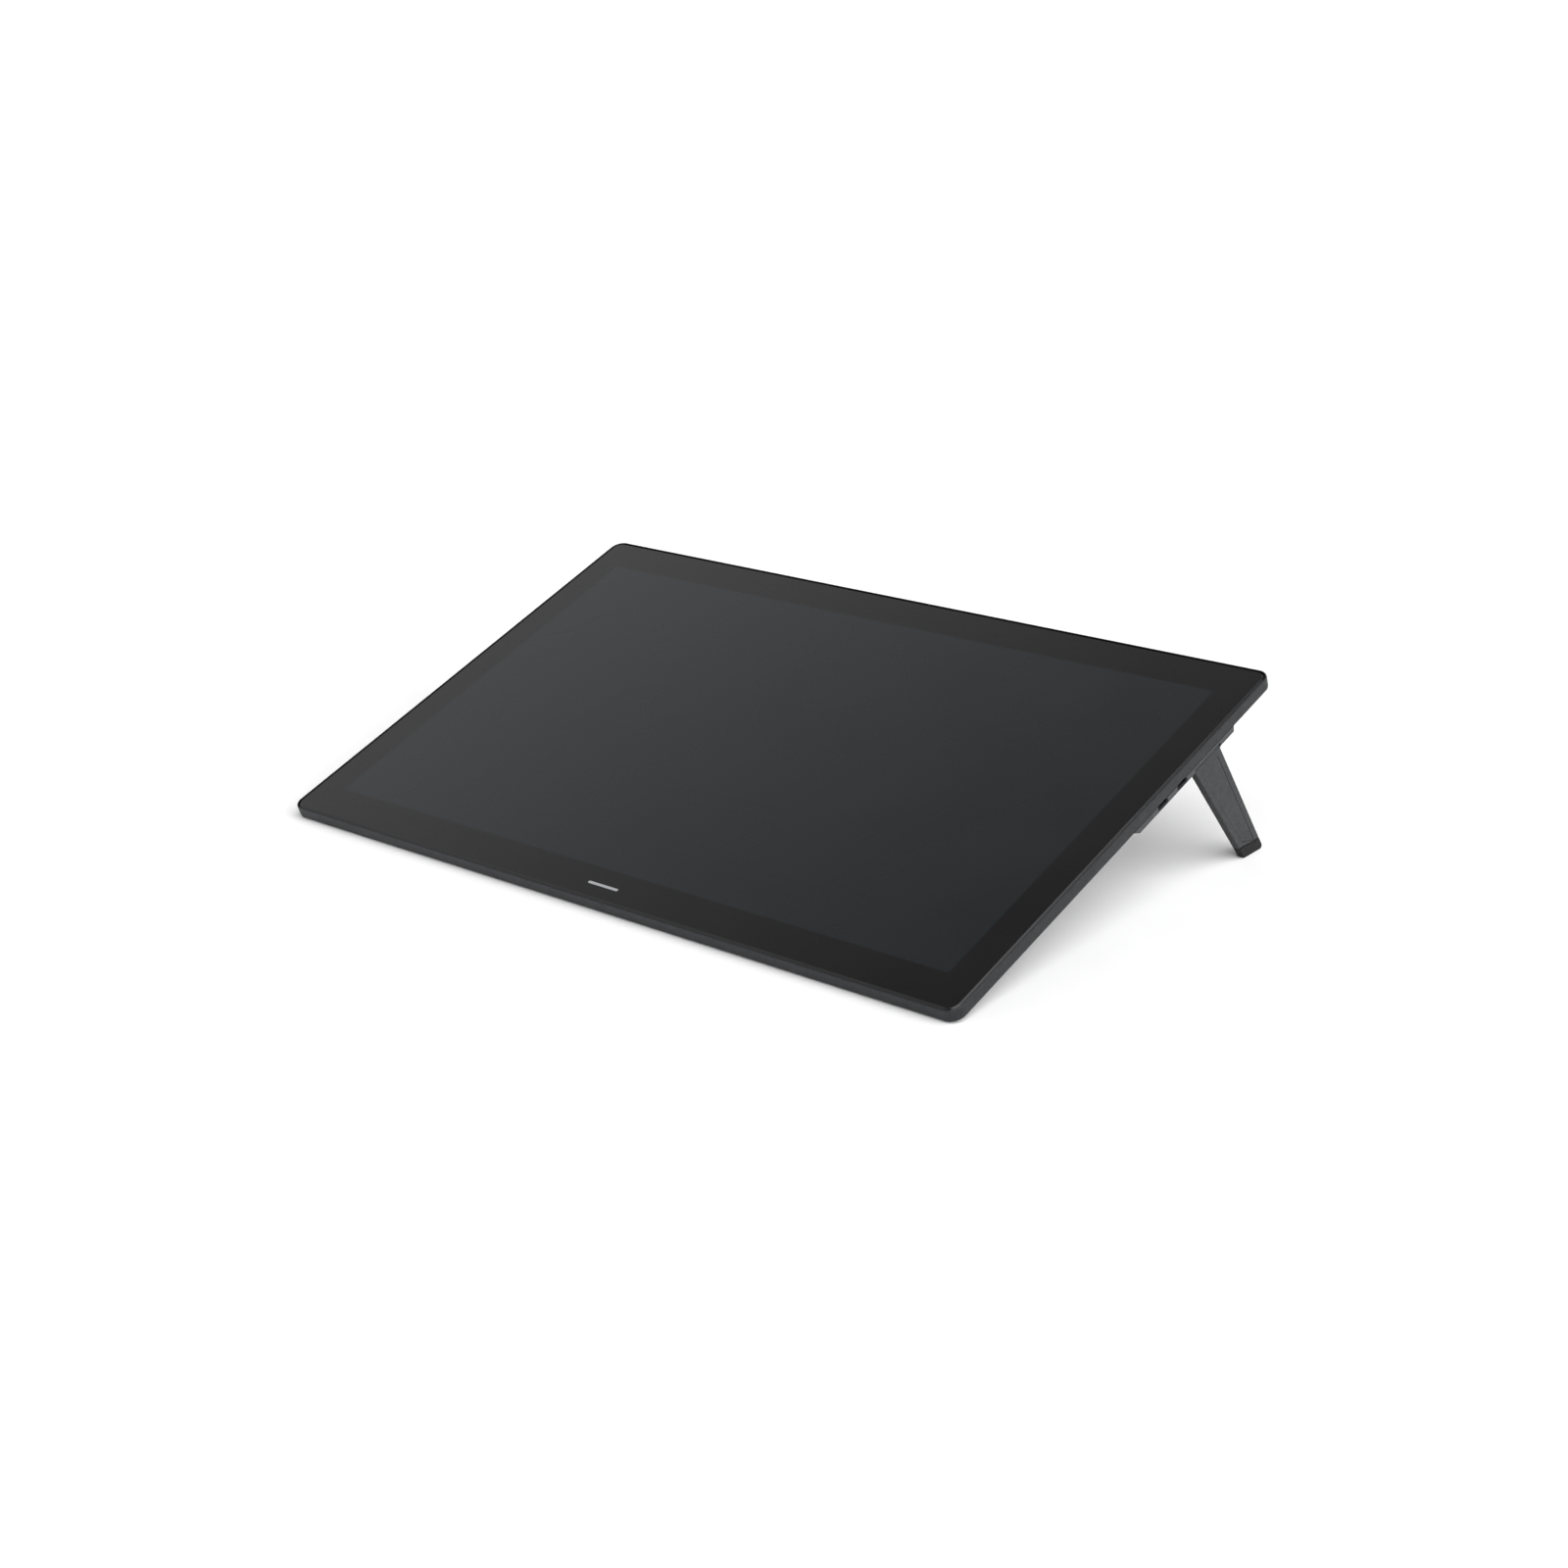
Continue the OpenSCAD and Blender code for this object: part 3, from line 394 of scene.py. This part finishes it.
# What each slot of the record is made of. The grains given here are at least 0.4 mm, coarser than most
# of the real ones, so that they show.
FINISHES = {
    # the outside
    "front_glass": etched_glass,
    "dark_aluminium": anodised_frame,
    "dark_cover": painted_cover,
    "leg_aluminium": anodised_leg,
    # near-black on the legs' narrow faces: painted shade on the front ones, under the tablet
    "leg_edge": leg_edge_painted_shade,
    "foot_rubber": moulded_rubber,
    "printed_mark": printed_mark,
    # ABS, injection moulded with a spark-eroded texture: satin
    "dark_button": lambda: grained("moulded_abs_button", "#262729", "#333436", 0.42, 0.6 * MM,
                                   0.004 * MM),
    # acrylic tinted almost black: glossy
    "smoked_pipe": lambda: grained("smoked_acrylic", "#101112", "#18191b", 0.2, 1 * MM, 0.001 * MM),
    # steel, stamped and plated: mid grey with a soft shine
    "socket_steel": lambda: turned_metal("plated_socket_steel", "#6c6e71", "#85878a", 0.32, 0.8 * MM),
    # the display
    "black_print": screen_ink,
    "display_cell": display_polariser,
    # closed-cell foam, die cut: dull black with a pitted skin
    "black_foam": lambda: grained("closed_cell_foam", "#0a0a0a", "#131313", 0.9, 0.4 * MM, 0.05 * MM),
    # coated polyester film: milky and matt
    "diffuser_film": lambda: grained("diffuser_film", "#dcdcd6", "#e8e8e2", 0.6, 0.5 * MM, 0.002 * MM),
    "clear_guide": light_guide_acrylic,
    # voided polyester film: bright white with a slight sheen
    "white_film": lambda: grained("white_reflector_film", "#e6e6e2", "#f2f2ee", 0.5, 1 * MM, 0.002 * MM),
    # white solder resist with pale yellow phosphor: satin
    "led_strip": lambda: grained("led_strip_resist", "#d8c98a", "#f0e6b8", 0.45, 1 * MM, 0.004 * MM),
    # zinc-coated sheet, rolled and pressed: grey with fine rolling lines
    "tray_steel": lambda: turned_metal("pressed_tray_steel", "#8d8f92", "#adafb2", 0.36, 1.5 * MM),
    # the electronics
    "circuit_board": circuit_board,
    "flex_film": flex_film,
    # filled silicone, calendered: dull blue grey with a coarse grain
    "thermal_pad": lambda: grained("silicone_thermal_pad", "#6e7f96", "#8496ad", 0.85, 0.8 * MM,
                                   0.03 * MM),
    # filled epoxy, transfer moulded: matt and near black
    "chip_resin": lambda: grained("moulded_chip_resin", "#161618", "#1e1e20", 0.6, 0.5 * MM, 0.01 * MM),
    # acetate cloth tape round a flat cable: matt with a fine grain
    "black_cable": lambda: grained("acetate_cable_tape", "#151516", "#202022", 0.7, 0.6 * MM,
                                   0.02 * MM),
    # aluminium plate, milled: pale with fine cutter lines
    "plain_aluminium": lambda: turned_metal("milled_aluminium", "#b2b4b6", "#c8cacc", 0.34, 1.2 * MM),
    # the hinges and fasteners
    # black oxide on steel: dark with a dull metal shine
    "black_screw": lambda: turned_metal("black_oxide_steel", "#1d1d1f", "#2a2a2c", 0.45, 0.6 * MM),
    # zinc plate on steel: bright and slightly cool
    "plain_screw": lambda: turned_metal("zinc_plated_steel", "#8f9193", "#b4b6b8", 0.3, 0.6 * MM),
    # nickel plate on steel: a darker grey with a soft shine
    "hinge_steel": lambda: turned_metal("nickel_plated_steel", "#66686b", "#808285", 0.34, 0.8 * MM),
    # centreless-ground steel: the smoothest and shiniest of the metals
    "pin_steel": lambda: turned_metal("ground_pin_steel", "#a6a8aa", "#c6c8ca", 0.2, 0.4 * MM),
    # brass, stamped and chemically blackened: dark brown
    "washer_brass": lambda: turned_metal("blackened_brass", "#2c2820", "#3d382d", 0.4, 0.5 * MM),
}
# parts whose finish differs from that of the other parts in their slot
OWN_FINISHES = {"status_light_pipe": "smoked_pipe"}
# materials made so far, by slot
made_finishes = {}


def finish(slot):
    """The material of a slot, made once."""
    if slot not in made_finishes:
        made_finishes[slot] = FINISHES[slot]()
    return made_finishes[slot]


# ---------------------------------------------------------------- properties


def length(name, description, default):
    """A length property in metres."""
    return FloatProperty(name=name, description=description, default=default, min=0.0,
                         unit="LENGTH", subtype="DISTANCE", precision=5)


def angle(name, description, degrees):
    """An angle property."""
    return FloatProperty(name=name, description=description, default=math.radians(degrees),
                         unit="ROTATION", subtype="ANGLE")


def colour(name, description, code):
    """A colour property whose default is given as an sRGB hex code."""
    return FloatVectorProperty(name=name, description=description, default=linear(code), size=4,
                               subtype="COLOR", min=0.0, max=1.0)


class PenDisplaySizes(bpy.types.PropertyGroup):
    """Fine sizes that the frame leaves open."""

    corner: length("Corner radius", "Plan radius of the side frame's corners", 7 * MM)
    lip: length("Frame lip", "Width of the frame's lip beside the glass", 0.76 * MM)
    edge_round: length("Frame edge rounding", "Rounding of the side frame's outer edges", 0.72 * MM)
    glass_bevel: length("Glass bevel", "Width of the polished bevel round the glass", 1.0 * MM)
    glass_drop: length("Glass bevel depth", "Fall of the polished bevel to its edge", 0.7 * MM)
    glass_seam: length("Glass seam", "Extra width of the dark seam round the glass", 0.25 * MM)
    glass_arris: length("Glass arris", "Rounding of the glass's lower edge", 0.15 * MM)
    seat: length("Glass seat", "Depth of the ledge that carries the glass", 1.6 * MM)
    ledge: length("Ledge reach", "Distance of the ledge's inner edge from the side", 6.5 * MM)
    ledge_thickness: length("Ledge thickness", "Thickness of the ledge below its seat", 0.8 * MM)
    skirt: length("Skirt", "Thickness of the side frame below its ledge", 2.2 * MM)
    mark_width: length("Mark width", "Length of the printed mark", 20 * MM)
    mark_height: length("Mark height", "Height of the printed mark", 1.7 * MM)
    mark_film: length("Mark film", "Thickness of the mark's ink", 0.02 * MM)
    mark_from_edge: length("Mark place", "Middle of the mark from the front edge", 11 * MM)
    border_side: length("Side border", "Printed border beside the picture", 19.35 * MM)
    border_front: length("Front border", "Printed border before the picture", 22.5 * MM)
    border_back: length("Back border", "Printed border behind the picture", 23.5 * MM)
    cover_round: length("Cover edge rounding", "Rounding of the rear cover's edges", 0.25 * MM)
    corner_steps: IntProperty(name="Corner steps", description="Facets round each corner",
                              default=16, min=3, max=48)


class PenDisplayColours(bpy.types.PropertyGroup):
    """Colours of the outer finishes."""

    frame_dark: colour("Frame, dark", "Darker tone of the side frame", "#2b2c2e")
    frame_light: colour("Frame, light", "Lighter tone of the side frame", "#37383a")
    border_ink: colour("Border ink", "Ink behind the border of the glass", "#050505")
    display_off: colour("Display, off", "Display behind the glass", "#13171a")
    # the legs' narrow faces: their near-black tone is painted shade on the front faces
    leg_edge: colour("Leg edge, dark", "Darker tone of the legs' edges", "#0f0f10")
    leg_edge_light: colour("Leg edge, light", "Lighter tone of the legs' edges", "#161617")
    leg_dark: colour("Leg, dark", "Darker tone of the legs", "#303132")
    leg_light: colour("Leg, light", "Lighter tone of the legs", "#434446")
    cover_dark: colour("Cover, dark", "Darker tone of the rear cover", "#303133")
    cover_light: colour("Cover, light", "Lighter tone of the rear cover", "#363739")


class PenDisplayStudio(bpy.types.PropertyGroup):
    """Camera, lights and floor."""

    azimuth: angle("Camera azimuth", "Camera's turn to the right of the tablet's front", 41.33)
    elevation: angle("Camera elevation", "Camera's height above the horizon", 20.57)
    roll: angle("Camera roll", "Camera's turn about its own axis", -2.44)
    distance: length("Camera distance", "Distance of the camera from its aim point", 1.379)
    aim: FloatVectorProperty(name="Aim", description="Aim point on the glass, in the panel frame",
                             default=(0.0364, -0.0258, 0.0), unit="LENGTH", size=3)
    lens: FloatProperty(name="Lens", description="Focal length in millimetres", default=62.84)
    sensor: FloatProperty(name="Sensor", description="Sensor width in millimetres", default=36.0)
    floor: length("Floor", "Width of the square floor", 60.0)
    key_from: FloatVectorProperty(name="Key light", description="Direction of the key light",
                                  default=(1.9, -0.55, 2.1), size=3)
    key_spread: angle("Key spread", "Apparent width of the key light", 75)
    key_strength: FloatProperty(name="Key strength", description="Strength of the key light",
                                default=3.3)
    low_sky: FloatProperty(name="Low sky", description="Brightness near the horizon", default=1.0)
    high_sky: FloatProperty(name="High sky", description="Brightness overhead", default=0.05)


# ---------------------------------------------------------------- modelling operators


class PENDISPLAY_OT_side_frame(bpy.types.Operator):
    """Models the rounded aluminium side frame with its glass seat"""

    bl_idname = "pendisplay.side_frame"
    bl_label = "Side frame"

    def execute(self, context):
        size = context.scene.pen_display_sizes
        low, high = panel_box("mid_frame")
        piece = start_box("side_frame", low, high)
        pick("EDGE", upright)
        bpy.ops.mesh.bevel(offset=size.corner, segments=size.corner_steps)
        top, bottom = high.z, low.z
        under_ledge = top - size.seat - size.ledge_thickness
        # the seat: an inset lip, a drop to the ledge and an opening through it
        pick("FACE", level(top))
        bpy.ops.mesh.inset(thickness=size.lip)
        pick("FACE", cap(top))
        self.move_face(-size.seat)
        bpy.ops.mesh.inset(thickness=size.ledge - size.lip)
        self.move_face(-size.ledge_thickness)
        # the skirt below the ledge
        pick("FACE", level(bottom))
        bpy.ops.mesh.inset(thickness=size.skirt)
        pick("FACE", cap(bottom))
        self.move_face(under_ledge - bottom)
        bpy.ops.mesh.inset(thickness=size.ledge - size.skirt)
        # both inner faces now lie in one plane: open them and close the seam
        pick("FACE", cap(under_ledge))
        bpy.ops.mesh.delete(type="FACE")
        bpy.ops.mesh.select_all(action="SELECT")
        bpy.ops.mesh.remove_doubles(threshold=SEAM_WELD)
        pick("EDGE", lambda edge: (level(top)(edge) or level(bottom)(edge))
             and self.on_outline(edge, high, size))
        bpy.ops.mesh.bevel(offset=size.edge_round, segments=4, clamp_overlap=True)
        finish_piece(piece, "tablet", finish("dark_aluminium"), 40.0,
                     ["mid_frame"])
        return {"FINISHED"}

    @staticmethod
    def move_face(distance):
        """Extrudes the selected face along z."""
        bpy.ops.mesh.extrude_region_move(TRANSFORM_OT_translate={"value": (0, 0, distance)})

    @staticmethod
    def on_outline(edge, high, size):
        """True for an edge on a straight side or a corner arc of the frame's outline."""
        inner = 0.2 * size.lip
        spot = middle(edge)
        if abs(spot.x) > high.x - inner or abs(spot.y) > high.y - inner:
            return True
        centre = Vector((high.x - size.corner, high.y - size.corner))
        ends = [Vector((abs(v.co.x), abs(v.co.y))) - centre for v in edge.verts]
        in_corner = all(e.x > -inner and e.y > -inner for e in ends)
        return in_corner and all(abs(e.length - size.corner) < ARC_GAP for e in ends)


class PENDISPLAY_OT_front_glass(bpy.types.Operator):
    """Models the front glass with its polished bevel"""

    bl_idname = "pendisplay.front_glass"
    bl_label = "Front glass"

    def execute(self, context):
        size = context.scene.pen_display_sizes
        low, high = panel_box("front_glass")
        seam = Vector((size.glass_seam, size.glass_seam, 0))
        low, high = low + seam, high - seam
        inset = panel_box("mid_frame")[1].x - high.x
        drop = Vector((0, 0, size.glass_drop))
        piece = start_box("glass_plate", low, high - drop)
        pick("EDGE", upright)
        bpy.ops.mesh.bevel(offset=size.corner - inset, segments=size.corner_steps)
        pick("FACE", level(high.z - size.glass_drop))
        bpy.ops.mesh.inset(thickness=size.glass_bevel, depth=size.glass_drop)
        pick("FACE", level(low.z))
        bpy.ops.mesh.region_to_loop()
        bpy.ops.mesh.bevel(offset=size.glass_arris, segments=2, clamp_overlap=True)
        finish_piece(piece, "tablet", finish("front_glass"), 20.0, ["front_glass"])
        return {"FINISHED"}


class PENDISPLAY_OT_front_mark(bpy.types.Operator):
    """Models the plain printed bar in the middle of the front border"""

    bl_idname = "pendisplay.front_mark"
    bl_label = "Front mark"

    def execute(self, context):
        size = context.scene.pen_display_sizes
        low, high = panel_box("mid_frame")
        half = Vector((size.mark_width / 2, size.mark_height / 2, 0))
        film = Vector((0, 0, size.mark_film))
        spot = Vector((0, low.y + size.mark_from_edge, high.z))
        piece = start_box("front_mark", spot - half, spot + half + film)
        pick("EDGE", upright)
        # just under half the height, so that the two arcs of an end stay apart
        bpy.ops.mesh.bevel(offset=size.mark_height * 0.49, segments=8)
        finish_piece(piece, "tablet", finish("printed_mark"))
        return {"FINISHED"}


class PENDISPLAY_OT_rear_cover(bpy.types.Operator):
    """Rounds the edges of the rear cover and its housing"""

    bl_idname = "pendisplay.rear_cover"
    bl_label = "Rear cover"

    def execute(self, context):
        piece = refined("rear_cover", "rear_shell", context.scene.pen_display_sizes.cover_round)
        finish_piece(piece, "tablet", finish("dark_cover"), 9.0, ["rear_cover"],
                     laid=False)
        return {"FINISHED"}


class PENDISPLAY_OT_legs(bpy.types.Operator):
    """Rounds the legs, their cover plates and their rubber feet"""

    bl_idname = "pendisplay.legs"
    bl_label = "Legs"

    def execute(self, context):
        # node, piece, slot, width of the rounding and its steps
        parts = (("leg_frame", "leg_shell", "leg_aluminium", 0.3 * MM, 3),
                 ("leg_cover", "leg_plate", "leg_aluminium", 0.18 * MM, 2),
                 ("leg_foot", "leg_pad", "foot_rubber", 0.3 * MM, 3))
        for side in ("right", "left"):
            for node, name, slot, width, steps in parts:
                piece = refined(f"{side}_{node}", f"{side}_{name}", width, steps)
                finish_piece(piece, f"{side}_leg", finish(slot), 30.0, [f"{side}_{node}"],
                             laid=False)
                if node == "leg_frame":
                    self.darken_edges(piece)
        return {"FINISHED"}

    @staticmethod
    def darken_edges(piece):
        """Gives the faces that don't look sideways, by a wide margin, the darker edge finish. On the
        front faces this is painted shade.
        """
        piece.data.materials.append(finish("leg_edge"))
        only(piece)
        bpy.ops.object.mode_set(mode="EDIT")
        # painted shade: the front faces under the tablet go near-black, along with the other narrow faces
        pick("FACE", lambda f: abs(f.normal.x) < 0.6)
        piece.active_material_index = 1
        bpy.ops.object.material_slot_assign()
        bpy.ops.object.mode_set(mode="OBJECT")


class PENDISPLAY_OT_small_parts(bpy.types.Operator):
    """Rounds the front feet, the power button and the sockets"""

    bl_idname = "pendisplay.small_parts"
    bl_label = "Feet, button and sockets"

    def execute(self, context):
        # node, piece, body, slot and width of the rounding
        parts = (("front_feet", "front_pads", "tablet", "foot_rubber", 0.4 * MM),
                 ("power_button", "power_key", "power_button", "dark_button", 0.12 * MM),
                 ("front_usb_socket", "front_socket_shell", "tablet", "socket_steel", 0.05 * MM),
                 ("rear_usb_socket", "rear_socket_shell", "tablet", "socket_steel", 0.05 * MM),
                 ("case_screws", "case_screw_heads", "tablet", "black_screw", 0.12 * MM))
        for node, name, body, slot, width in parts:
            piece = refined(node, name, width)
            finish_piece(piece, body, finish(slot), 30.0, [node], laid=False)
        return {"FINISHED"}


class PENDISPLAY_OT_finishes(bpy.types.Operator):
    """Gives every CAD part that still shows its own finish"""

    bl_idname = "pendisplay.finishes"
    bl_label = "Part finishes"

    def execute(self, context):
        slots = {s["node"]: s["material_slot"] for s in frame["record"]["subparts"]}
        for name, part in frame["nodes"].items():
            for holder in part.material_slots:
                holder.material = finish(OWN_FINISHES.get(name, slots[name]))
        return {"FINISHED"}


# ---------------------------------------------------------------- stage


def soft_sun(name, source, spread, strength):
    """A very wide, even lamp far away in a direction."""
    bpy.ops.object.select_all(action="DESELECT")
    bpy.ops.object.light_add(type="SUN", location=source)
    light = bpy.context.object
    light.name = name
    light.data.angle = spread
    light.data.energy = strength
    light.rotation_euler = Vector(source).to_track_quat("Z", "Y").to_euler()


def studio_world(low, high):
    """A white cove that fades to a darker ceiling, as in a light tent."""
    world = bpy.data.worlds.new("studio")
    bpy.context.scene.world = world
    world.use_nodes = True
    tree = world.node_tree
    tree.nodes.clear()
    place = add(tree, "ShaderNodeTexCoord")
    parts = add(tree, "ShaderNodeSeparateXYZ", links={"Vector": place.outputs["Generated"]})
    ramp = add(tree, "ShaderNodeValToRGB", links={"Fac": parts.outputs["Z"]})
    # height, from straight down at 0 to overhead at 1, and brightness
    stops = ((0.0, low), (0.48, low), (0.63, low * 0.65), (0.68, low * 0.42), (0.75, high),
             (1.0, high))
    while len(ramp.color_ramp.elements) < len(stops):
        ramp.color_ramp.elements.new(0.5)
    for element, (place_at, value) in zip(ramp.color_ramp.elements, stops):
        element.position = place_at
        element.color = (value, value, value, 1)
    light = add(tree, "ShaderNodeBackground", {"Strength": 1.0},
                {"Color": ramp.outputs["Color"]})
    add(tree, "ShaderNodeOutputWorld", links={"Surface": light.outputs["Background"]})


class PENDISPLAY_OT_stage(bpy.types.Operator):
    """Builds the floor, the soft lights and the camera"""

    bl_idname = "pendisplay.stage"
    bl_label = "Stage"

    def execute(self, context):
        studio = context.scene.pen_display_studio
        bpy.ops.object.select_all(action="DESELECT")
        bpy.ops.mesh.primitive_plane_add(size=studio.floor)
        floor = context.object
        floor.name = "floor"
        floor.data.materials.append(
            grained("matt_white_floor", "#f6f6f6", "#f9f9f9", 0.9, 40 * MM, 0.0))
        studio_world(studio.low_sky, studio.high_sky)
        soft_sun("key_softbox", studio.key_from, studio.key_spread, studio.key_strength)
        self.camera(context, studio)
        context.scene.view_settings.view_transform = "Standard"
        return {"FINISHED"}

    @staticmethod
    def camera(context, studio):
        """Places the camera on a line through its aim point on the glass."""
        flat = math.cos(studio.elevation)
        toward = Vector((-flat * math.sin(studio.azimuth), flat * math.cos(studio.azimuth),
                         -math.sin(studio.elevation)))
        aim = PANEL @ Vector(studio.aim)
        turn = toward.to_track_quat("-Z", "Y").to_matrix().to_4x4()
        turn = turn @ Matrix.Rotation(studio.roll, 4, "Z")
        bpy.ops.object.camera_add()
        camera = context.object
        camera.name = "camera"
        camera.matrix_world = Matrix.Translation(aim - toward * studio.distance) @ turn
        camera.data.lens = studio.lens
        camera.data.sensor_width = studio.sensor
        camera.data.clip_end = 2 * studio.floor
        context.scene.camera = camera


# ---------------------------------------------------------------- panel and registration

STEPS = (
    PENDISPLAY_OT_side_frame,
    PENDISPLAY_OT_front_glass,
    PENDISPLAY_OT_front_mark,
    PENDISPLAY_OT_rear_cover,
    PENDISPLAY_OT_legs,
    PENDISPLAY_OT_small_parts,
    PENDISPLAY_OT_finishes,
    PENDISPLAY_OT_stage,
)


class PENDISPLAY_PT_sidebar(bpy.types.Panel):
    """Lists the steps that build the tablet"""

    bl_idname = "PENDISPLAY_PT_sidebar"
    bl_label = "Pen display"
    bl_space_type = "VIEW_3D"
    bl_region_type = "UI"
    bl_category = "Pen display"

    def draw(self, context):
        for step in STEPS:
            self.layout.operator(step.bl_idname)


GROUPS = {
    "pen_display_sizes": PenDisplaySizes,
    "pen_display_colours": PenDisplayColours,
    "pen_display_studio": PenDisplayStudio,
}


def register():
    """Registers the classes and hangs the settings on the scene."""
    for group in GROUPS.values():
        bpy.utils.register_class(group)
    for name, group in GROUPS.items():
        setattr(bpy.types.Scene, name, PointerProperty(type=group))
    for item in STEPS + (PENDISPLAY_PT_sidebar,):
        bpy.utils.register_class(item)


def unregister():
    """Undoes register."""
    for item in reversed(STEPS + (PENDISPLAY_PT_sidebar,)):
        bpy.utils.unregister_class(item)
    for name, group in GROUPS.items():
        delattr(bpy.types.Scene, name)
        bpy.utils.unregister_class(group)


def main():
    """Builds everything in order."""
    register()
    for step in STEPS:
        section, name = step.bl_idname.split(".")
        getattr(getattr(bpy.ops, section), name)()


if __name__ == "__main__":
    main()
